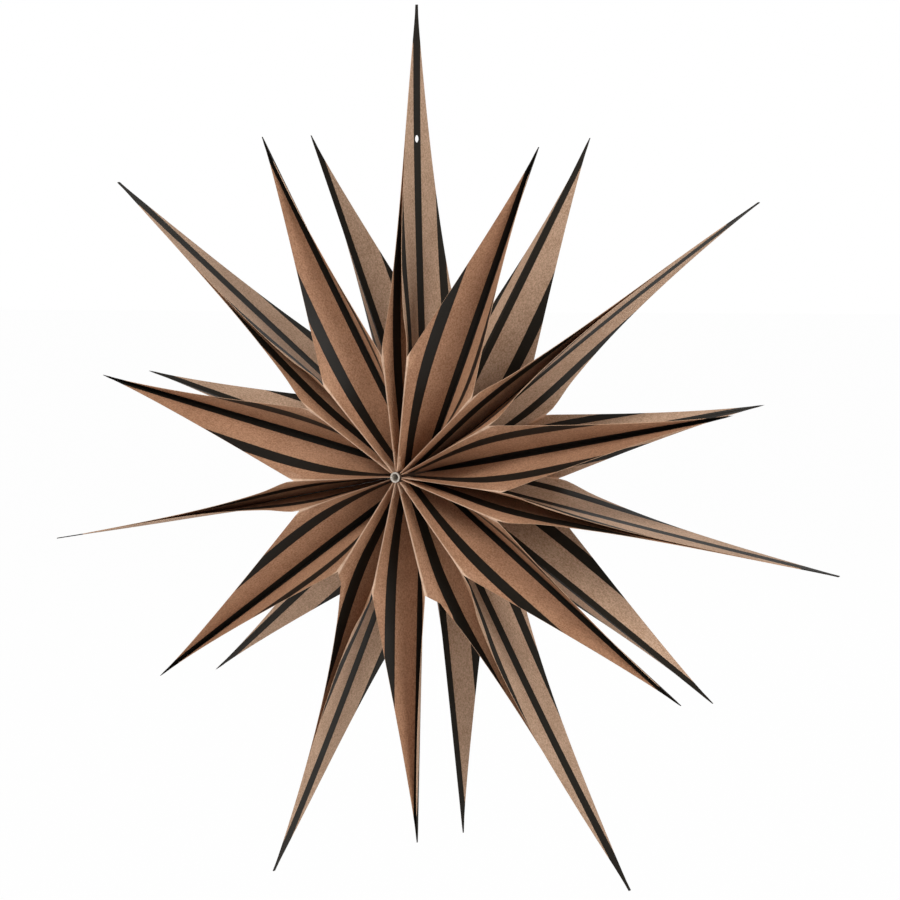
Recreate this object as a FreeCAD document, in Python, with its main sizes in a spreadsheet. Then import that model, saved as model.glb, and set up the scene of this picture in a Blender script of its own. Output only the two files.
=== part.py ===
import FreeCAD, Part
import math
import os

# A folded paper star with seven long spikes and fourteen short ones. It is made of seven
# equal paper bags, each a square tube folded from one sheet, with two flat panels and two
# gussets. Their open ends are cut to points. The bags stand round a thin core tube, and each
# bag's flat panel is glued to the next bag's along its middle line, which is a long spike.
#
# Frame: the star's axis is Y with the front towards -Y, the hung spike points up along +Z,
# and the origin is the middle of the core. A bearing is an angle in the XZ plane, measured
# from +X towards +Z. Lengths are in millimetres and angles in degrees.

SIZES = [
    ("panel_width", 74.5),        # width of each of a bag's four sides
    ("shoulder_reach", 79.2),     # axis to where the cut edges leave the ridges
    ("long_reach", 305.0),        # axis to the tip of a flat panel
    ("short_reach", 244.7),       # axis to the tip of a gusset, along its crease
    ("paper_thickness", 0.3),
    ("glue_gap", 0.1),            # between two glued panels
    ("glue_width", 7.0),          # of the flat strip along the middle line that is glued
    ("spine_depth", 15.0),        # the bag's closed inner end, layers pressed together
    ("fold_ease", 0.3),           # how far a gusset stands off its panel near the axis
    ("core_diameter", 6.8),
    ("core_bore", 5.0),
    ("core_proud", 1.6),          # how far the core stands out of the ridges, each end
    ("hang_hole_diameter", 5.0),
    ("hang_hole_reach", 218.0),   # axis to the centre of the hanging hole
]

# The star was opened by hand, so its spikes and ridges are a little uneven. Each list has
# one value per bag, clockwise from the hung spike as the front shows them.
SPIKE_LEAN = [0.0, -2.4, 1.3, 1.2, 1.5, -2.2, -0.5]     # long spike off its even bearing
SPIKE_BEND = [-1.0, -1.3, 0.4, 1.2, -1.3, -0.6, 0.0]    # its tip off that bearing
OPENING = {                                             # ridge off its long spike
    ("first", "front"): [8.3, 10.1, 7.7, 13.0, 12.5, 7.5, 8.7],
    ("second", "front"): [5.2, 5.7, 11.0, 8.3, 6.8, 5.6, 5.5],
    ("first", "back"): [7.0, 9.9, 7.8, 9.8, 10.2, 8.4, 7.5],
    ("second", "back"): [6.7, 6.8, 6.6, 10.3, 7.1, 7.5, 5.7],
}
FLAP_SHOWING = [0.0, 0.0, 0.0, 6.5, 4.5, 0.0, 0.0]      # seam flap past its panel's edge

BAGS = 7
STEPS = 3                                               # facets across half a side
NECK_SHARES = [0.45, 0.75, 1.0]                         # rows from the axis to the shoulder
SPIKE_SHARES = [0.35, 0.7, 1.0]                         # rows from the shoulder to the tip
FACE_SIGN = {"front": -1, "back": 1}
SIDE_SIGN = {"first": -1, "second": 1}                  # which way the ridge lies


def vector_at(reach, bearing, y):
    """Point at a distance from the axis, on a bearing, y along the axis."""
    angle = math.radians(bearing)
    return FreeCAD.Vector(reach * math.cos(angle), y, reach * math.sin(angle))


def between(start, end, share):
    return start + (end - start) * share


class Bag:
    """One folded bag: where the points of its sheet lie."""

    def __init__(self, number, size):
        self.number = number
        self.size = size
        self.half = size["panel_width"] / 2
        self.shoulder = size["shoulder_reach"]
        after = (number + 1) % BAGS
        self.spike = {"first": number, "second": after}
        self.bearing = {side: self.spike_bearing(spike) for side, spike in self.spike.items()}
        if self.bearing["second"] > self.bearing["first"]:
            self.bearing["second"] -= 360.0
        self.apart = self.bearing["first"] - self.bearing["second"]
        core_radius = size["core_diameter"] / 2 + size["glue_gap"] / 2
        self.inner_end = core_radius / math.cos(math.radians(self.apart / 2))

    def spike_bearing(self, spike):
        return 90.0 - spike * 360.0 / BAGS + SPIKE_LEAN[spike]

    def glue_point(self, side, reach):
        """Middle line of a panel, out to the tip of its long spike."""
        bend = SPIKE_BEND[self.spike[side]] * (reach / self.size["long_reach"]) ** 2
        bearing = self.bearing[side] + bend
        inward = vector_at(1.0, bearing + SIDE_SIGN[side] * 90.0, 0.0)
        return vector_at(reach, bearing, 0.0) + inward * (self.size["glue_gap"] / 2)

    def ridge_bearing(self, side, face):
        return self.bearing[side] + SIDE_SIGN[side] * OPENING[(side, face)][self.number]

    def ridge_point(self, side, face, reach):
        """Fold between a flat panel and a gusset."""
        y = FACE_SIGN[face] * self.half
        return vector_at(reach, self.ridge_bearing(side, face), y)

    def glued_edge(self, side, face, reach):
        """Where a panel leaves the one that it is glued to."""
        aside = FACE_SIGN[face] * self.size["glue_width"] / 2
        return self.glue_point(side, reach) + FreeCAD.Vector(0, aside, 0)

    def panel_edge(self, side, face, reach):
        """Side edge of a flat panel, short of the ridge where the seam flap shows."""
        ridge = self.ridge_point(side, face, reach)
        if (side, face) != ("first", "front"):
            return ridge
        glued = self.glued_edge(side, face, reach)
        past_spine = max(0.0, reach - self.size["spine_depth"])
        showing = past_spine / (self.shoulder - self.size["spine_depth"])
        showing *= FLAP_SHOWING[self.number]
        return between(ridge, glued, showing / (glued - ridge).Length)

    def short_tip(self, face):
        """Tip of a gusset, where flat paper takes it when both its ridges stay in place."""
        first = self.ridge_bearing("first", face)
        second = self.ridge_bearing("second", face)
        across = math.cos(math.radians((first - second) / 2))
        depth = self.half / self.shoulder
        lean = math.atan2(depth, across)
        rise = lean - math.acos(min(1.0, 1.0 / math.hypot(depth, across)))
        reach = self.size["short_reach"]
        y = FACE_SIGN[face] * reach * math.sin(rise)
        return vector_at(reach * math.cos(rise), (first + second) / 2, y)

    def panel_row(self, side, face, reach):
        """Points across half a panel, from its middle line to its edge: first the strip
        that is glued to the next bag's panel, then the part that opens away from it."""
        glue = self.glue_point(side, reach)
        glued = self.glued_edge(side, face, reach)
        if reach <= self.shoulder:
            edge = self.panel_edge(side, face, reach)
        else:
            opened = self.panel_edge(side, face, self.shoulder)
            opened -= self.glued_edge(side, face, self.shoulder)
            strip = self.size["glue_width"] / 2
            left = self.size["long_reach"] - reach
            width = (strip + opened.Length) * left / (self.size["long_reach"] - self.shoulder)
            glued = between(glue, glued, min(1.0, width / strip))
            edge = glued + opened * (max(0.0, width - strip) / opened.Length)
        return [glue] + [between(glued, edge, step / (STEPS - 1)) for step in range(STEPS)]

    def gusset_row(self, side, face, reach):
        """Points across half a gusset, from its crease to its edge. Near the axis the
        paper lies along the flat panel first and then bends away to the crease."""
        tip = self.short_tip(face)
        crease = tip * (reach / self.size["short_reach"])
        corner = self.ridge_point(side, face, self.shoulder)
        if reach > self.shoulder:
            along = (reach - self.shoulder) / (self.size["short_reach"] - self.shoulder)
            edge = between(corner, tip, along)
            return [between(crease, edge, step / STEPS) for step in range(STEPS + 1)]
        ridge = self.ridge_point(side, face, reach)
        bend = corner * (reach / self.shoulder)
        bend = between(bend, between(ridge, crease, 0.5), self.size["fold_ease"])
        row = []
        for step in range(STEPS + 1):
            share = step / STEPS
            row.append(between(between(crease, bend, share), between(bend, ridge, share), share))
        return row


def strip_triangles(rows, turned):
    """Triangles of a strip of paper given as rows of points. Corners that coincide, as at
    a tip, leave their triangle out."""
    triangles = []
    for low, high in zip(rows, rows[1:]):
        for column in range(len(low) - 1):
            a, b = low[column], low[column + 1]
            c, d = high[column + 1], high[column]
            for corners in ((a, b, c), (a, c, d)):
                if turned:
                    corners = corners[::-1]
                triangles.append(corners)
    return [t for t in triangles if (t[1] - t[0]).cross(t[2] - t[0]).Length > 1e-6]


def key(point):
    return tuple(round(value, 4) for value in point)


def inner_points(triangles, thickness):
    """The inside of the paper for each corner: one thickness behind every face there. At a
    sharp fold that point lies deep, so the search for it stops after a few rounds."""
    normals = {}
    for corners in triangles:
        normal = (corners[1] - corners[0]).cross(corners[2] - corners[0])
        normal.normalize()
        for corner in corners:
            normals.setdefault(key(corner), []).append((corner, normal))
    inner = {}
    for name, faces in normals.items():
        shift = FreeCAD.Vector()
        for _ in range(12):
            for _, normal in faces:
                shift = shift - normal * (thickness + normal.dot(shift))
        inner[name] = faces[0][0] + shift
    return inner


def end_cap(panels, gussets, turned):
    """Closes the inner end of a bag: four slots between panel and gusset, and the middle.
    panels and gussets hold one row of points per side and face, ridge last."""
    triangles = []
    for (side, face), panel in panels.items():
        rows = [panel, gussets[(side, face)] + [panel[-1]] * (len(panel) - STEPS - 1)]
        odd = (SIDE_SIGN[side] * FACE_SIGN[face] > 0) != turned
        triangles += strip_triangles(rows, odd)
    for side in ("first", "second"):
        a = panels[(side, "front")][0]
        b = gussets[(side, "front")][0]
        c = gussets[(side, "back")][0]
        corners = (a, b, c) if (SIDE_SIGN[side] > 0) != turned else (a, c, b)
        triangles.append(corners)
    return triangles


def solid_of(triangles):
    faces = [Part.Face(Part.makePolygon([a, b, c, a])) for a, b, c in triangles]
    shell = Part.makeShell(faces)
    shell.sewShape()
    solid = Part.Solid(shell)
    if solid.Volume < 0:
        solid.reverse()
    return solid


def bag_shape(number, size):
    """One bag as a closed solid of paper: outside, inside, cut edges and inner end."""
    bag = Bag(number, size)
    neck = [bag.inner_end, size["spine_depth"]]
    neck += [share * bag.shoulder for share in NECK_SHARES]
    skin, hollow, rims = [], [], []
    caps = {end: ({}, {}) for end in ("inner_end", "spine")}
    for side in ("first", "second"):
        for face in ("front", "back"):
            turned = SIDE_SIGN[side] * FACE_SIGN[face] < 0
            for cap, reach in zip(caps.values(), neck):
                ridge = bag.ridge_point(side, face, reach)
                cap[0][(side, face)] = bag.panel_row(side, face, reach) + [ridge]
                cap[1][(side, face)] = bag.gusset_row(side, face, reach)
            for row, tip_reach, flip in (
                (bag.panel_row, size["long_reach"], turned),
                (bag.gusset_row, size["short_reach"], not turned),
            ):
                reaches = [bag.shoulder + share * (tip_reach - bag.shoulder)
                           for share in SPIKE_SHARES]
                rows = [row(side, face, reach) for reach in neck]
                spike = rows[-1:] + [row(side, face, reach) for reach in reaches]
                if row == bag.panel_row:
                    rows = [r + [bag.ridge_point(side, face, reach)]
                            for r, reach in zip(rows, neck)]
                inside = strip_triangles(rows[1:], flip) + strip_triangles(spike, flip)
                skin += strip_triangles(rows[:2], flip) + inside
                hollow += inside
                edge = [r[-1] for r in spike]
                if row == bag.panel_row:
                    edge.insert(0, rows[-1][-1])
                rims += [(start, end, flip) for start, end in zip(edge, edge[1:])]
    inner = inner_points(skin, size["paper_thickness"])
    inside = [tuple(inner[key(p)] for p in reversed(t)) for t in hollow]
    triangles = skin + inside + end_cap(*caps["inner_end"], False)
    spine_panels, spine_gussets = [
        {place: [inner[key(p)] for p in row] for place, row in rows.items()}
        for rows in caps["spine"]
    ]
    triangles += end_cap(spine_panels, spine_gussets, True)
    for start, end, flip in rims:
        if (end - start).Length > 1e-4:
            strip = [[start, end], [inner[key(start)], inner[key(end)]]]
            triangles += strip_triangles(strip, not flip)
    return solid_of(triangles)


def hang_hole_drill(size):
    """Cylinder across the hung spike, where both glued panels are punched."""
    reach = size["hang_hole_reach"]
    bend = SPIKE_BEND[0] * (reach / size["long_reach"]) ** 2
    bearing = 90.0 + SPIKE_LEAN[0] + bend
    across = vector_at(1.0, bearing - 90.0, 0.0)
    length = size["panel_width"] / 2
    start = vector_at(reach, bearing, 0.0) - across * (length / 2)
    return Part.makeCylinder(size["hang_hole_diameter"] / 2, length, start, across)


def add_core(document):
    """Thin tube on the star's axis that the bags' inner ends are glued round."""
    length = "Sizes.panel_width + 2 * Sizes.core_proud"
    tubes = []
    for name, diameter in (("CoreBody", "core_diameter"), ("CoreBore", "core_bore")):
        tube = document.addObject("Part::Cylinder", name)
        tube.setExpression("Radius", "Sizes." + diameter + " / 2")
        tube.setExpression("Height", length)
        turn = FreeCAD.Rotation(FreeCAD.Vector(1, 0, 0), -90)
        tube.Placement = FreeCAD.Placement(FreeCAD.Vector(0, 0, 0), turn)
        tube.setExpression("Placement.Base.y", "-(" + length + ") / 2")
        tubes.append(tube)
    core = document.addObject("Part::Cut", "CoreTube")
    core.Base, core.Tool = tubes
    core.Label = "core_tube"
    return core


def add_bags(document, size):
    drill = hang_hole_drill(size)
    bags = []
    for number in range(BAGS):
        shape = bag_shape(number, size)
        if number in (0, BAGS - 1):
            shape = shape.cut(drill).Solids[0]
        bag = document.addObject("Part::Feature", "Bag" + str(number + 1))
        bag.Shape = shape
        bag.Placement = FreeCAD.Placement()
        bag.Label = "bag_" + str(number + 1)
        bags.append(bag)
    return bags


def main():
    document = FreeCAD.newDocument("PaperStar")
    sheet = document.addObject("Spreadsheet::Sheet", "Sizes")
    for row, (name, value) in enumerate(SIZES, start=1):
        sheet.set("A" + str(row), str(value))
        sheet.setAlias("A" + str(row), name)
    document.recompute()
    size = {name: float(sheet.get(name)) for name, _ in SIZES}

    sub_parts = add_bags(document, size) + [add_core(document)]
    document.recompute()

    for item in document.Objects:
        if "Invalid" in item.State or "Error" in item.State:
            raise RuntimeError(item.Name + " did not compute: " + str(item.State))
    os.makedirs("parts", exist_ok=True)
    for item in sub_parts:
        shape = item.Shape
        if shape.isNull() or not shape.isValid() or len(shape.Solids) != 1:
            raise RuntimeError(item.Label + " is not one valid solid")
        box = shape.BoundBox
        print(item.Label, "volume", round(shape.Volume, 1), "faces", len(shape.Faces),
              "box", [round(v, 1) for v in (box.XLength, box.YLength, box.ZLength)])
    for item in sub_parts:
        item.Shape.exportStep("parts/" + item.Label + ".step")


main()
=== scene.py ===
# %% [markdown]
# # A folded paper star
#
# The star is made of seven bags of striped kraft paper, each a square tube with two flat
# panels and two gussets. The bags are glued panel to panel round a thin core tube, and their
# open ends are cut to points: the panels give the seven long spikes, the gussets the fourteen
# short ones. This lesson folds each bag from one flat, finely divided sheet, prints the
# stripes in the sheet's own flat coordinates, and then sets the light and the camera.

# %% The fixed frame
import bpy
import bmesh
import math
from mathutils import Matrix, Vector


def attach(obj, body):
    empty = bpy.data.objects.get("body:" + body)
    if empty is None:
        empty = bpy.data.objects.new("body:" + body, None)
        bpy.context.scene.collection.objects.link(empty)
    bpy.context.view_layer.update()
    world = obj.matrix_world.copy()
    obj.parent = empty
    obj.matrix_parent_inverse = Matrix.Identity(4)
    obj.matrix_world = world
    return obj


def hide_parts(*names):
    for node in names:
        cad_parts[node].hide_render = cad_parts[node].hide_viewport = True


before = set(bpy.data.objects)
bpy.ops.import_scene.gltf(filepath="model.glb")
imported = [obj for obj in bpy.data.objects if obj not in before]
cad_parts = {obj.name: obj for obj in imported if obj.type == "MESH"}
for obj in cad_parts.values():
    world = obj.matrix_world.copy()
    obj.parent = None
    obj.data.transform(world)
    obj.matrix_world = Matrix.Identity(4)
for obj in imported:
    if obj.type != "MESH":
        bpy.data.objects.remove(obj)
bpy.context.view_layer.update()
bpy.ops.object.select_all(action="DESELECT")
print("nodes:", sorted(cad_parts))

# %% [markdown]
# The sizes are in millimetres until a mesh is written, because paper is measured so. A
# bearing is an angle round the star's axis, which is Y: 90 degrees is straight up. The star
# was opened by hand, so each spike leans a little and each ridge opens by its own angle.

# %% The star's measures
MM = 0.001
BAGS = 7
PANEL_WIDTH = 74.5
HALF = PANEL_WIDTH / 2
SHOULDER = 79.2
LONG_REACH = 305.0
SHORT_REACH = 244.7
GLUE_GAP = 0.03         # between the outer faces of two glued panels
STRIP = 3.5             # half the width of the flat strip that is glued
SPINE_DEPTH = 15.0
CORE_DIAMETER = 6.8
CORE_BORE = 5.0
CORE_PROUD = 1.6        # how far the core stands out of the ridges
CORE_EASE = 0.05        # between the bags' inner ends and the core
FOLD_EASE = 0.3
SPIKE_LEAN = [0.0, -2.4, 1.3, 1.2, 1.5, -2.2, -0.5]
SPIKE_BEND = [-1.0, -1.3, 0.4, 1.2, -1.3, -0.6, 0.0]
OPENING = {
    ("first", "front"): [8.3, 10.1, 7.7, 13.0, 12.5, 7.5, 8.7],
    ("second", "front"): [5.2, 5.7, 11.0, 8.3, 6.8, 5.6, 5.5],
    ("first", "back"): [7.0, 9.9, 7.8, 9.8, 10.2, 8.4, 7.5],
    ("second", "back"): [6.7, 6.8, 6.6, 10.3, 7.1, 7.5, 5.7],
}
LEAN_FADE, SPREAD_FADE, VALLEY_FADE = 0.50, 2.8, 0.35
SPIKE_TWIST = [0.0, 0.0, 0.0, 0.0, 0.0, 10.0, 0.0]
EASE = 30.0             # length past the shoulder over which a panel's angle is eased
TIP = 1.2               # half width that the scissors leave at a tip
FLAP_SHOWING = [0.0, 0.0, 0.0, 6.5, 4.5, 0.0, 0.0]
FACE_SIGN = {"front": -1, "back": 1}
SIDE_SIGN = {"first": -1, "second": 1}
OTHER_SIDE = {"first": "second", "second": "first"}
print("bag side", PANEL_WIDTH, "mm, long spikes", LONG_REACH, "mm")


# %% [markdown]
# A bag's sheet is described by where its lines go when it is folded: the middle line of each
# flat panel, where it is glued to the next bag, the four ridges, and the crease of each
# gusset, which runs from the axis to the tip of its short spike. Flat paper can't stretch, so
# the tip's height follows from the ridges beside it. Past the shoulder nothing holds the
# ridges open, so the panels and the gusset's halves go back towards flat: each angle fades
# with the share of the length that is left, and an ease makes the start of that smooth.
# The scissors leave each tip a little blunt, and one long spike is twisted a little.

# %% Where the fold lines lie
def vector_at(reach, bearing, y):
    angle = math.radians(bearing)
    return Vector((reach * math.cos(angle), y, reach * math.sin(angle)))


def spike_bearing(spike):
    return 90.0 - spike * 360.0 / BAGS + SPIKE_LEAN[spike]


def line_bearing(spike, reach):
    """Bearing of a point on a long spike's middle line, which bends a little."""
    return spike_bearing(spike) + SPIKE_BEND[spike] * (reach / LONG_REACH) ** 2


class Bag:
    def __init__(self, number):
        self.number = number
        self.spike = {"first": number, "second": (number + 1) % BAGS}
        self.bearing = {side: spike_bearing(spike) for side, spike in self.spike.items()}
        if self.bearing["second"] > self.bearing["first"]:
            self.bearing["second"] -= 360.0
        apart = self.bearing["first"] - self.bearing["second"]
        core = CORE_DIAMETER / 2 + CORE_EASE
        self.inner_end = core / math.cos(math.radians(apart / 2))

    def inward(self, side, reach):
        bearing = line_bearing(self.spike[side], reach)
        return vector_at(1.0, bearing + SIDE_SIGN[side] * 90.0, 0.0)

    def glue_point(self, side, reach):
        place = vector_at(reach, line_bearing(self.spike[side], reach), 0.0)
        return place + self.inward(side, reach) * (GLUE_GAP / 2)

    def glued_edge(self, side, face, reach):
        return self.glue_point(side, reach) + Vector((0.0, FACE_SIGN[face] * STRIP, 0.0))

    def ridge_bearing(self, side, face):
        return self.bearing[side] + SIDE_SIGN[side] * OPENING[(side, face)][self.number]

    def ridge_point(self, side, face, reach):
        return vector_at(reach, self.ridge_bearing(side, face), FACE_SIGN[face] * HALF)

    def short_tip(self, face):
        first = self.ridge_bearing("first", face)
        second = self.ridge_bearing("second", face)
        across = math.cos(math.radians((first - second) / 2))
        depth = HALF / SHOULDER
        rise = math.atan2(depth, across) - math.acos(min(1.0, 1.0 / math.hypot(depth, across)))
        y = FACE_SIGN[face] * SHORT_REACH * math.sin(rise)
        return vector_at(SHORT_REACH * math.cos(rise), (first + second) / 2, y)

    def opened(self, side, face):
        """A panel's angle off its spike's middle plane at the shoulder, and its width."""
        way = self.ridge_point(side, face, SHOULDER) - self.glued_edge(side, face, SHOULDER)
        return math.atan2(way.dot(self.inward(side, SHOULDER)), abs(way.y)), way.length

    def panel_turn(self, side, face, reach):
        """That angle past the shoulder."""
        own, width = self.opened(side, face)
        neighbour = Bag((self.number + SIDE_SIGN[side]) % BAGS)
        other, _ = neighbour.opened(OTHER_SIDE[side], face)
        lean, spread = (own - other) / 2, (own + other) / 2
        left = (LONG_REACH - reach) / (LONG_REACH - SHOULDER)
        past = min((reach - SHOULDER) / EASE, 1.0)
        before = math.sin(own) * math.cos(own) / SHOULDER
        after = -(LEAN_FADE * lean + SPREAD_FADE * spread) / (LONG_REACH - SHOULDER)
        eased = (before - after) * EASE * past * (1.0 - past) ** 2
        twist = math.radians(SPIKE_TWIST[self.spike[side]]) * (1.0 - left)
        eased += twist * SIDE_SIGN[side] * FACE_SIGN[face]
        return lean * left ** LEAN_FADE + spread * left ** SPREAD_FADE + eased, width

    def gusset_edge(self, side, face, reach):
        """Cut edge of a gusset past the shoulder, square to its crease."""
        along = self.short_tip(face).normalized()
        across = self.ridge_point(side, face, SHOULDER) - along * SHOULDER
        outward = Vector((0.0, FACE_SIGN[face], 0.0))
        outward = (outward - along * outward.dot(along)).normalized()
        sideways = across - outward * across.dot(outward)
        left = (SHORT_REACH - reach) / (SHORT_REACH - SHOULDER)
        turn = math.atan2(sideways.length, across.dot(outward)) * left ** VALLEY_FADE
        way = outward * math.cos(turn) + sideways.normalized() * math.sin(turn)
        return along * reach + way * math.hypot(across.length * left, TIP)


bags = [Bag(number) for number in range(BAGS)]
print("short tips at", [round(bag.short_tip("front").y, 1) for bag in bags], "mm in front")


# %% [markdown]
# Two rules fold the sheet. A flat panel has a glued strip along its middle line and is
# straight from there to its ridge; past the shoulder it tapers to the long spike's tip. A
# gusset is straight past the shoulder. Nearer the axis it has more width than room, so it
# lies along the panel first and then bends over to its crease. The share says how far across
# the half side a point is, and the measured length of the curve keeps the print's stripes at
# their true width on it.

# %% Rules that fold the sheet
def flap_share(bag, side, face, reach):
    """How much of a half panel its seam flap covers, as a share of the half panel."""
    if (side, face) != ("first", "front"):
        return 0.0
    past_spine = max(0.0, min(reach, SHOULDER) - SPINE_DEPTH) / (SHOULDER - SPINE_DEPTH)
    return past_spine * FLAP_SHOWING[bag.number] / HALF


def panel_place(bag, side, face, share, reach):
    """Place of a point a share of the half panel away from its middle line."""
    glue, glued = bag.glue_point(side, reach), bag.glued_edge(side, face, reach)
    if reach <= SHOULDER:
        ridge = bag.ridge_point(side, face, reach)
        width = STRIP + (ridge - glued).length
        way = (ridge - glued).normalized()
    else:
        turn, width = bag.panel_turn(side, face, reach)
        width = (STRIP + width) * (LONG_REACH - reach) / (LONG_REACH - SHOULDER)
        width = math.hypot(width, TIP)
        way = bag.inward(side, reach) * math.sin(turn)
        way.y += FACE_SIGN[face] * math.cos(turn)
    across = width * share
    flat = min(across, STRIP)
    return glue.lerp(glued, flat / STRIP) + way * (across - flat)


def gusset_curve(bag, side, face, reach):
    """Crease, bend and ridge of a half gusset at one reach."""
    tip = bag.short_tip(face)
    crease = tip * (reach / SHORT_REACH)
    if reach > SHOULDER:
        edge = bag.gusset_edge(side, face, reach)
        return crease, crease.lerp(edge, 0.5), edge
    ridge = bag.ridge_point(side, face, reach)
    bend = bag.ridge_point(side, face, SHOULDER) * (reach / SHOULDER)
    return crease, bend.lerp(ridge.lerp(crease, 0.5), FOLD_EASE), ridge


def gusset_place(curve, share):
    crease, bend, ridge = curve
    return crease.lerp(bend, share).lerp(bend.lerp(ridge, share), share)


def even_shares(curve, count):
    """Curve parameters that divide a half gusset into equal widths of paper."""
    fine = 64
    points = [gusset_place(curve, step / fine) for step in range(fine + 1)]
    lengths = [0.0]
    for start, end in zip(points, points[1:]):
        lengths.append(lengths[-1] + (end - start).length)
    if lengths[-1] < 0.01:
        return [step / count for step in range(count + 1)]
    shares = []
    for step in range(count + 1):
        want = lengths[-1] * step / count
        cell = max(i for i in range(fine) if lengths[i] <= want + 1e-9)
        span = max(lengths[cell + 1] - lengths[cell], 1e-9)
        shares.append((cell + (want - lengths[cell]) / span) / fine)
    return shares


sample = even_shares(gusset_curve(bags[0], "first", "front", 40.0), 4)
print("even steps over a bent gusset:", [round(share, 2) for share in sample])


# %% [markdown]
# The sheet is a grid primitive: eight half sides wide, with the row of shoulders part of the
# way up. Its ridges are split past the shoulders, as scissors cut them, and the two outer
# columns meet where the real sheet has its glued seam. Then every corner of the grid goes to
# its folded place. The flat position is kept in the sheet's UV map in metres, so that the
# stripes, which are printed before folding, follow every fold.

# %% One sheet, cut and folded
COLUMNS = 12
NECK_ROWS = 24
SPIKE_ROWS = 36
HALF_SIDES = [
    ("first", "front", "panel", 1), ("first", "front", "gusset", -1),
    ("second", "front", "gusset", 1), ("second", "front", "panel", -1),
    ("second", "back", "panel", 1), ("second", "back", "gusset", -1),
    ("first", "back", "gusset", 1), ("first", "back", "panel", -1),
]


def row_reach(bag, row, kind):
    if row <= NECK_ROWS:
        return bag.inner_end + (SHOULDER - bag.inner_end) * row / NECK_ROWS
    tip = LONG_REACH if kind == "panel" else SHORT_REACH
    return SHOULDER + (tip - SHOULDER) * (row - NECK_ROWS) / SPIKE_ROWS


def ease_shoulder(rows):
    """Paper bends smoothly, so the points between a half side's two lines are averaged
    with those of the rows beside them, most at the shoulder."""
    for _ in range(40):
        before = [list(row) for row in rows]
        for row in range(NECK_ROWS - 8, NECK_ROWS + 8):
            near = 0.5 - abs(row - NECK_ROWS) / 16.0
            for column in range(1, COLUMNS):
                beside = zip(before[row - 1][column], before[row + 1][column])
                middle = [(low + high) / 2 for low, high in beside]
                rows[row][column] = tuple(
                    old.lerp(new, near) for old, new in zip(rows[row][column], middle))


def folded_sheet(bag):
    """Grid of places and flat coordinates: place[half side][row][column]."""
    places = []
    for number, (side, face, kind, direction) in enumerate(HALF_SIDES):
        rows = []
        for row in range(NECK_ROWS + SPIKE_ROWS + 1):
            reach = row_reach(bag, row, kind)
            if kind == "panel":
                steps = [step / COLUMNS for step in range(COLUMNS + 1)]
                cut = 1.0 - flap_share(bag, side, face, reach)
                if reach > SHOULDER:
                    steps = [step * cut for step in steps]
                points = [panel_place(bag, side, face, step, reach) for step in steps]
                left = max(0.03, min(1.0, (LONG_REACH - reach) / (LONG_REACH - SHOULDER)))
                flat = [step * HALF * left for step in steps]
            else:
                curve = gusset_curve(bag, side, face, reach)
                points = [gusset_place(curve, step) for step in even_shares(curve, COLUMNS)]
                left = max(0.03, min(1.0, (SHORT_REACH - reach) / (SHORT_REACH - SHOULDER)))
                flat = [step / COLUMNS * HALF * left for step in range(COLUMNS + 1)]
            middle = PANEL_WIDTH * ((number + 1) // 2)
            uv = [Vector((middle + direction * width, reach)) * MM for width in flat]
            if direction < 0:
                points, uv = points[::-1], uv[::-1]
            rows.append(list(zip(points, uv)))
        ease_shoulder(rows)
        places.append(rows)
    return places


def select_only(piece):
    bpy.ops.object.select_all(action="DESELECT")
    piece.select_set(True)
    bpy.context.view_layer.objects.active = piece


def fold_bag(bag, name):
    across, along = COLUMNS * len(HALF_SIDES), NECK_ROWS + SPIKE_ROWS
    bpy.ops.mesh.primitive_grid_add(x_subdivisions=across, y_subdivisions=along, size=1.0)
    piece = bpy.context.object
    piece.name = piece.data.name = name
    bpy.ops.object.mode_set(mode="EDIT")
    bpy.ops.mesh.select_all(action="DESELECT")
    sheet = bmesh.from_edit_mesh(piece.data)
    bpy.context.tool_settings.mesh_select_mode = (False, True, False)
    for edge in sheet.edges:
        a, b = edge.verts
        column = (a.co.x + 0.5) * across
        beyond = min(a.co.y, b.co.y) > NECK_ROWS / along - 0.5 - 1e-4
        on_ridge = abs(a.co.x - b.co.x) < 1e-5 and round(column) % (2 * COLUMNS) == COLUMNS
        edge.select_set(beyond and on_ridge)
    bmesh.update_edit_mesh(piece.data)
    bpy.ops.mesh.edge_split(type="EDGE")
    sheet = bmesh.from_edit_mesh(piece.data)
    places = folded_sheet(bag)
    layer = sheet.loops.layers.uv.verify()
    moves = {}
    for flat_face in sheet.faces:
        middle = (flat_face.calc_center_median().x + 0.5) * across
        half_side = min(int(middle / COLUMNS), len(HALF_SIDES) - 1)
        for loop in flat_face.loops:
            column = round((loop.vert.co.x + 0.5) * across) - half_side * COLUMNS
            row = round((loop.vert.co.y + 0.5) * along)
            place, uv = places[half_side][row][column]
            loop[layer].uv = uv
            moves[loop.vert] = place * MM
    for corner, place in moves.items():
        corner.co = place
    bmesh.update_edit_mesh(piece.data)
    bpy.ops.mesh.select_all(action="SELECT")
    bpy.ops.mesh.remove_doubles(threshold=0.00001)
    bpy.ops.mesh.dissolve_degenerate(threshold=0.000001)
    bpy.ops.object.mode_set(mode="OBJECT")
    piece.data.uv_layers[0].name = "flat_sheet"
    return piece


sheets = [fold_bag(bag, "folded_bag_%d" % (bag.number + 1)) for bag in bags]
print("faces of one folded sheet:", len(sheets[0].data.polygons))


# %% [markdown]
# A sheet without thickness has no cut edges, and those catch the light on the real star. The
# Solidify modifier gives each sheet its thickness towards the inside of the bag, so that the
# outside stays in place, and puts the inside and the cut edges in material slots of their own.

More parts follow.
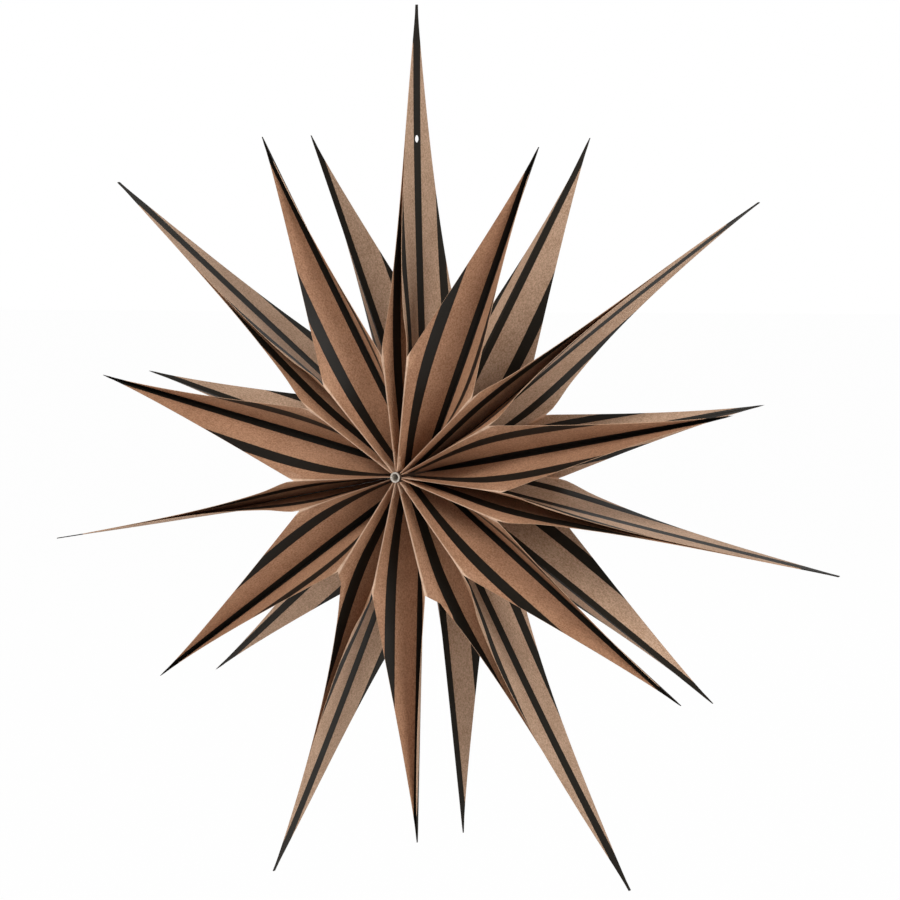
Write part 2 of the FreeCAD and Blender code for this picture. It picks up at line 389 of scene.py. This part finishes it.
# %% Which way the sheets face
def inward_share(piece, bag):
    """Share of the faces near the first glued line that look into the bag."""
    into = total = 0
    for side in piece.data.polygons:
        reach = math.hypot(side.center.x, side.center.z) / MM
        if 60.0 < reach < 280.0:
            glue = bag.glue_point("first", reach)
            if (side.center / MM - glue).length < 6.0:
                total += 1
                into += side.normal.dot(bag.inward("first", reach)) > 0.0
    return into / max(total, 1)


for piece, bag in zip(sheets, bags):
    if inward_share(piece, bag) > 0.5:
        select_only(piece)
        bpy.ops.object.mode_set(mode="EDIT")
        bpy.ops.mesh.select_all(action="SELECT")
        bpy.ops.mesh.flip_normals()
        bpy.ops.object.mode_set(mode="OBJECT")
print("facing into the bag:", [round(inward_share(p, b), 2) for p, b in zip(sheets, bags)])


# %% Paper thickness
PAPER = 0.28


def thicken(piece):
    select_only(piece)
    solid = piece.modifiers.new("paper", "SOLIDIFY")
    solid.thickness = PAPER * MM
    solid.offset = -1.0
    solid.use_rim = True
    solid.material_offset = 1
    solid.material_offset_rim = 2
    bpy.ops.object.modifier_apply(modifier=solid.name)


# %% [markdown]
# Shader sums are written as plain expressions. A Signal wraps one socket, and adding or
# multiplying signals adds Math nodes. Every other node comes from Finish.node.

# %% Shader helpers
class Signal:
    def __init__(self, finish, socket):
        self.finish = finish
        self.socket = socket

    def math(self, operation, *others):
        inputs = dict(enumerate((self,) + others))
        return self.finish.node("ShaderNodeMath", {"operation": operation}, inputs)

    def __add__(self, other): return self.math("ADD", other)
    def __radd__(self, other): return self.math("ADD", other)
    def __sub__(self, other): return self.math("SUBTRACT", other)
    def __rsub__(self, other): return (self * -1.0).math("ADD", other)
    def __mul__(self, other): return self.math("MULTIPLY", other)

    def rise(self, low, high):
        """0 below low and 1 above high, smoothly between."""
        settings = {"interpolation_type": "SMOOTHSTEP"}
        inputs = {"Value": self, "From Min": low, "From Max": high}
        return self.finish.node("ShaderNodeMapRange", settings, inputs)


class Finish:
    def __init__(self, name):
        self.material = bpy.data.materials.new(name)
        self.material.use_nodes = True
        self.tree = self.material.node_tree
        self.tree.nodes.clear()

    def node(self, kind, settings=None, inputs=None, output=0):
        made = self.tree.nodes.new(kind)
        for key, value in (settings or {}).items():
            setattr(made, key, value)
        for key, value in (inputs or {}).items():
            if isinstance(value, Signal):
                self.tree.links.new(value.socket, made.inputs[key])
            else:
                made.inputs[key].default_value = value
        return Signal(self, made.outputs[output])

    def mix(self, share, low, high, blend="MIX"):
        made = self.tree.nodes.new("ShaderNodeMix")
        made.data_type, made.blend_type = "RGBA", blend
        for socket, value in zip((made.inputs[0], made.inputs[6], made.inputs[7]),
                                 (share, low, high)):
            if isinstance(value, Signal):
                self.tree.links.new(value.socket, socket)
            else:
                socket.default_value = value
        return Signal(self, made.outputs[2])

    def noise(self, place, scale, detail=3.0, roughness=0.5):
        inputs = {"Vector": place, "Scale": scale, "Detail": detail, "Roughness": roughness}
        return self.node("ShaderNodeTexNoise", None, inputs)

    def finish(self, shader):
        out = self.tree.nodes.new("ShaderNodeOutputMaterial")
        self.tree.links.new(shader.socket, out.inputs["Surface"])
        return self.material


def shade(red, green, blue):
    """Linear colour of a paint chip given in display values from 0 to 255."""
    def linear(value):
        value /= 255.0
        return value / 12.92 if value <= 0.04045 else ((value + 0.055) / 1.055) ** 2.4
    return (linear(red), linear(green), linear(blue), 1.0)


print("kraft brown is", [round(v, 3) for v in shade(172, 122, 92)])


# %% [markdown]
# The bags are made of kraft paper: reddish brown and calendered on its outer face, paler and
# more fibrous inside. Its stripes run along the bag. Measured from the middle of each side
# they are dark to 4 mm, brown to 20, dark to 28, and brown up to the ridge at 37. Along the
# ridges a painted highlight lightens the colour, with some wear from folding mixed in, and
# the ink has a faint satin look.

# %% Kraft paper
MIDDLE_STRIPE = 0.0041
SIDE_STRIPE = 0.0200, 0.0277
PRINT_BLUR = 0.00018


def printed_share(line):
    """1 where the paper is printed dark, by the distance from the middle of its side."""
    def past(place):
        return line.rise(place - PRINT_BLUR, place + PRINT_BLUR)
    start, end = SIDE_STRIPE
    return (1.0 - past(MIDDLE_STRIPE)) + past(start) * (1.0 - past(end))


def kraft(name, brown, pale, ink, fleck, gloss):
    finish = Finish(name)
    flat = finish.node("ShaderNodeUVMap", {"uv_map": "flat_sheet"})
    place = finish.node("ShaderNodeTexCoord", output=3)
    across = finish.node("ShaderNodeSeparateXYZ", None, {"Vector": flat}, output=0)
    side = across.math("PINGPONG", HALF * MM)
    wander = finish.noise(flat, 420.0, 2.0) - 0.5
    printed = printed_share(side + wander * 0.0003)
    stretched = finish.node("ShaderNodeMapping", None,
                            {"Vector": flat, "Scale": (1.0, 0.12, 1.0)})
    fibre = finish.noise(stretched, 2600.0, 2.0, 0.6)
    grain = finish.noise(place, 900.0, 4.0, 0.65)
    cloud = finish.noise(place, 55.0, 3.0, 0.55)
    tone = (fibre - 0.5) * fleck + (grain - 0.5) * (fleck * 1.6) + (cloud - 0.5) * 0.5 + 0.5
    paper = finish.mix(tone.rise(0.0, 1.0), brown, pale)
    # Painted highlight along the ridges: near each fold the paper colour is mixed towards a
    # light tan, and noise breaks it up as some wear from folding.
    fold = side.rise((HALF - 1.7) * MM, (HALF - 0.6) * MM)
    ridge_highlight_and_wear = fold * (finish.noise(flat, 260.0, 3.0, 0.6).rise(0.25, 0.6) * 0.5 + 0.5)
    paper = finish.mix(ridge_highlight_and_wear * 0.9, paper, shade(236, 202, 174))
    inked = finish.mix(grain.rise(0.3, 0.8) * 0.6, ink, tuple(v * 1.9 for v in ink[:3]) + (1.0,))
    colour = finish.mix(printed, paper, inked)
    rough = gloss + (grain - 0.5) * 0.18 - printed * 0.08
    relief = fibre * 0.35 + grain * 0.65
    fine = finish.node("ShaderNodeBump", None,
                       {"Height": relief, "Strength": 0.35, "Distance": 0.00012})
    cockle = finish.noise(place, 38.0, 2.0, 0.4)
    normal = finish.node("ShaderNodeBump", None, {
        "Height": cockle, "Strength": 0.5, "Distance": 0.0016, "Normal": fine})
    shader = finish.node("ShaderNodeBsdfPrincipled", None, {
        "Base Color": colour, "Roughness": rough, "Normal": normal,
        "Specular IOR Level": 0.22})
    return finish.finish(shader)


outer_paper = kraft("outer_kraft", shade(148, 106, 78), shade(196, 150, 118),
                    shade(27, 23, 18), 1.1, 0.55)
inner_paper = kraft("inner_kraft", shade(176, 140, 112), shade(226, 191, 163),
                    shade(34, 29, 22), 1.3, 0.78)
print("two faces of kraft paper made")


# %% [markdown]
# A cut edge shows the raw middle of the sheet: pale, dull and a little ragged. Round the
# tips, where both faces are printed dark, the ink has crept over it.

# %% Cut edge
def cut_edge():
    finish = Finish("cut_paper_edge")
    place = finish.node("ShaderNodeTexCoord", output=3)
    grain = finish.noise(place, 1400.0, 3.0, 0.6)
    colour = finish.mix(grain.rise(0.3, 0.7), shade(176, 136, 106), shade(216, 180, 150))
    flat = finish.node("ShaderNodeUVMap", {"uv_map": "flat_sheet"})
    across = finish.node("ShaderNodeSeparateXYZ", None, {"Vector": flat}, output=0)
    inked = across.math("PINGPONG", HALF * MM).rise(0.0039, 0.0043)
    colour = finish.mix(inked, shade(40, 34, 26), colour)
    bump = finish.node("ShaderNodeBump", None,
                       {"Height": grain, "Strength": 0.4, "Distance": 0.0001})
    shader = finish.node("ShaderNodeBsdfPrincipled", None, {
        "Base Color": colour, "Roughness": 0.85, "Normal": bump, "Specular IOR Level": 0.2})
    return finish.finish(shader)


edge_paper = cut_edge()
for piece in sheets:
    for material in (outer_paper, inner_paper, edge_paper):
        piece.data.materials.append(material)
    thicken(piece)
    select_only(piece)
    bpy.ops.object.shade_smooth_by_angle(angle=math.radians(18))
    number = piece.name[-1]
    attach(piece, "root")
    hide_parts("bag_" + number)
print("faces of one thick bag:", len(sheets[0].data.polygons))


# %% [markdown]
# The hanging hole is punched through both glued layers of the top spike. A cylinder cutter
# and the Boolean modifier do what the punch does.

# %% Hanging hole
HOLE_REACH, HOLE_WIDTH = 218.0, 5.0
bearing = line_bearing(0, HOLE_REACH)
centre = vector_at(HOLE_REACH, bearing, 0.0) * MM
through = vector_at(1.0, bearing - 90.0, 0.0).to_track_quat("Z", "Y").to_euler()
bpy.ops.mesh.primitive_cylinder_add(vertices=32, radius=HOLE_WIDTH / 2 * MM, depth=0.02,
                                    location=centre, rotation=through)
punch = bpy.context.object
for piece in (sheets[0], sheets[6]):
    select_only(piece)
    hole = piece.modifiers.new("hole", "BOOLEAN")
    hole.operation, hole.solver, hole.object = "DIFFERENCE", "EXACT", punch
    bpy.ops.object.modifier_apply(modifier=hole.name)
select_only(punch)
bpy.ops.object.delete()
print("faces with the hole:", len(sheets[0].data.polygons))


# %% [markdown]
# The core is a thin tube of rolled paper that stands a little out of the ridges. It is spun
# from the outline of its wall, with soft lips at both ends. Its bore and ends are pale, and
# its outside is brown.

# %% Core tube
def core_tube():
    half = HALF + CORE_PROUD
    bore, outer, lip = CORE_BORE / 2, CORE_DIAMETER / 2, 0.25
    outline = [(bore, -half + lip), (bore + lip, -half), (outer - lip, -half),
               (outer, -half + lip), (outer, half - lip), (outer - lip, half),
               (bore + lip, half), (bore, half - lip)]
    bpy.ops.mesh.primitive_circle_add(vertices=len(outline), radius=1.0)
    piece = bpy.context.object
    piece.name = piece.data.name = "core_roll"
    for corner, (radius, y) in zip(piece.data.vertices, outline):
        corner.co = Vector((radius, y, 0.0)) * MM
    bpy.ops.object.mode_set(mode="EDIT")
    bpy.ops.mesh.select_all(action="SELECT")
    bpy.ops.mesh.spin(steps=48, angle=2 * math.pi, center=(0, 0, 0), axis=(0, 1, 0))
    bpy.ops.mesh.select_all(action="SELECT")
    bpy.ops.mesh.remove_doubles(threshold=0.00001)
    bpy.ops.mesh.normals_make_consistent(inside=False)
    bpy.ops.object.mode_set(mode="OBJECT")
    bpy.ops.object.shade_smooth_by_angle(angle=math.radians(40))
    return piece


def core_paper():
    finish = Finish("core_paper")
    place = finish.node("ShaderNodeTexCoord", output=3)
    grain = finish.noise(place, 1300.0, 3.0, 0.6)
    stain = finish.noise(place, 260.0, 2.0, 0.5)
    colour = finish.mix(grain.rise(0.25, 0.75), shade(176, 166, 154), shade(226, 219, 209))
    colour = finish.mix(stain.rise(0.5, 0.8) * 0.5, colour, shade(150, 120, 98))
    depth = finish.node("ShaderNodeSeparateXYZ", None, {"Vector": place}, output=1)
    end = depth.math("ABSOLUTE") + (stain - 0.5) * 0.0008
    flat = finish.node("ShaderNodeVectorMath", {"operation": "MULTIPLY"},
                       {0: place, 1: (1.0, 0.0, 1.0)})
    radius = finish.node("ShaderNodeVectorMath", {"operation": "LENGTH"}, {0: flat}, output=1)
    bore = 1.0 - radius.rise(0.0026, 0.0028)
    pale = end.rise(0.0374, 0.0380).math("MAXIMUM", bore)
    colour = finish.mix(pale, shade(58, 42, 32), colour)
    bump = finish.node("ShaderNodeBump", None,
                       {"Height": grain, "Strength": 0.4, "Distance": 0.0001})
    shader = finish.node("ShaderNodeBsdfPrincipled", None, {
        "Base Color": colour, "Roughness": 0.45, "Normal": bump})
    return finish.finish(shader)


core = core_tube()
core.data.materials.append(core_paper())
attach(core, "root")
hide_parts("core_tube")
print("core tube faces:", len(core.data.polygons))

# %% [markdown]
# The star hangs in front of white paper. The floor lies below it, shows as white to the
# camera and keeps the star's soft shadow.

# %% Floor and background
bpy.ops.mesh.primitive_plane_add(size=14.0, location=(0.0, 0.0, -0.42))
floor = bpy.context.object
floor.name = "pale_floor"
stage = Finish("pale_floor")
path = stage.tree.nodes.new("ShaderNodeLightPath")
seen = Signal(stage, path.outputs["Is Camera Ray"])
seen = seen.math("MAXIMUM", Signal(stage, path.outputs["Is Glossy Ray"]))
seen = seen.math("MAXIMUM", Signal(stage, path.outputs["Is Transmission Ray"]))
matt = stage.node("ShaderNodeBsdfPrincipled", None, {
    "Base Color": (0.95, 0.95, 0.95, 1.0), "Roughness": 0.9})
glow = stage.node("ShaderNodeEmission", None, {"Color": (1.0, 1.0, 1.0, 1.0), "Strength": 1.0})
floor.data.materials.append(stage.finish(
    stage.node("ShaderNodeMixShader", None, {0: seen * 0.985, 1: matt, 2: glow})))

world = bpy.data.worlds.new("studio")
bpy.context.scene.world = world
world.use_nodes = True
tree = world.node_tree
tree.nodes.clear()
path = tree.nodes.new("ShaderNodeLightPath")
either = tree.nodes.new("ShaderNodeMath")
either.operation = "MAXIMUM"
tree.links.new(path.outputs["Is Camera Ray"], either.inputs[0])
tree.links.new(path.outputs["Is Transmission Ray"], either.inputs[1])
ambient, white = (tree.nodes.new("ShaderNodeBackground") for _ in range(2))
ambient.inputs["Color"].default_value = (1.0, 1.0, 1.0, 1.0)
ambient.inputs["Strength"].default_value = 0.18
white.inputs["Color"].default_value = (1.0, 1.0, 1.0, 1.0)
mixed, out = tree.nodes.new("ShaderNodeMixShader"), tree.nodes.new("ShaderNodeOutputWorld")
tree.links.new(either.outputs[0], mixed.inputs[0])
tree.links.new(ambient.outputs[0], mixed.inputs[1])
tree.links.new(white.outputs[0], mixed.inputs[2])
tree.links.new(mixed.outputs[0], out.inputs["Surface"])
print("floor and white background set")


# %% [markdown]
# The lamps are large soft boxes: the main one high on the left in front, one on the right,
# which lights the insides of the bags that open that way, and a weaker one behind.

# %% Lamps
def soft_box(name, place, width, power):
    bpy.ops.object.light_add(type="AREA", location=place)
    lamp = bpy.context.object
    lamp.name = name
    lamp.data.shape, lamp.data.size, lamp.data.energy = "DISK", width, power
    lamp.rotation_euler = (-Vector(place)).to_track_quat("-Z", "Y").to_euler()
    return lamp


soft_box("main_soft_box", (-0.6, -2.0, 1.9), 1.2, 43.0)
soft_box("right_soft_box", (2.6, -1.0, 0.6), 1.3, 32.0)
soft_box("back_soft_box", (-0.8, 2.4, 1.2), 1.6, 14.0)

# %% [markdown]
# The camera stands to the star's right, a little above it, and leans slightly, because the
# star in the picture hangs that way. Its shift puts the star where the picture has it.

# %% Camera
AROUND, ABOVE, LEAN = math.radians(31.467), math.radians(5.711), math.radians(-1.953)
SCALE, PER_DISTANCE = 1.52288, 0.00034117
OFF_RIGHT, OFF_DOWN = -24.426, 21.452
back = Vector((math.sin(AROUND) * math.cos(ABOVE), -math.cos(AROUND) * math.cos(ABOVE),
               math.sin(ABOVE)))
right = Vector((math.cos(AROUND), math.sin(AROUND), 0.0))
up = back.cross(right)
right, up = (right * math.cos(LEAN) + up * math.sin(LEAN),
             up * math.cos(LEAN) - right * math.sin(LEAN))
distance = 1.0 / PER_DISTANCE
bpy.ops.object.camera_add()
camera = bpy.context.object
camera.name = "camera"
camera.matrix_world = Matrix.Translation(back * distance * MM) @ Matrix(
    (right, up, back)).transposed().to_4x4()
camera.data.sensor_width = 36.0
camera.data.lens = 36.0 * SCALE * distance / 900.0
camera.data.shift_x = -OFF_RIGHT / 900.0
camera.data.shift_y = OFF_DOWN / 900.0
camera.data.clip_end = 50.0
bpy.context.scene.camera = camera
bpy.context.scene.view_settings.view_transform = "Standard"
print("camera", round(distance / 1000, 2), "m away, lens", round(camera.data.lens, 1), "mm")
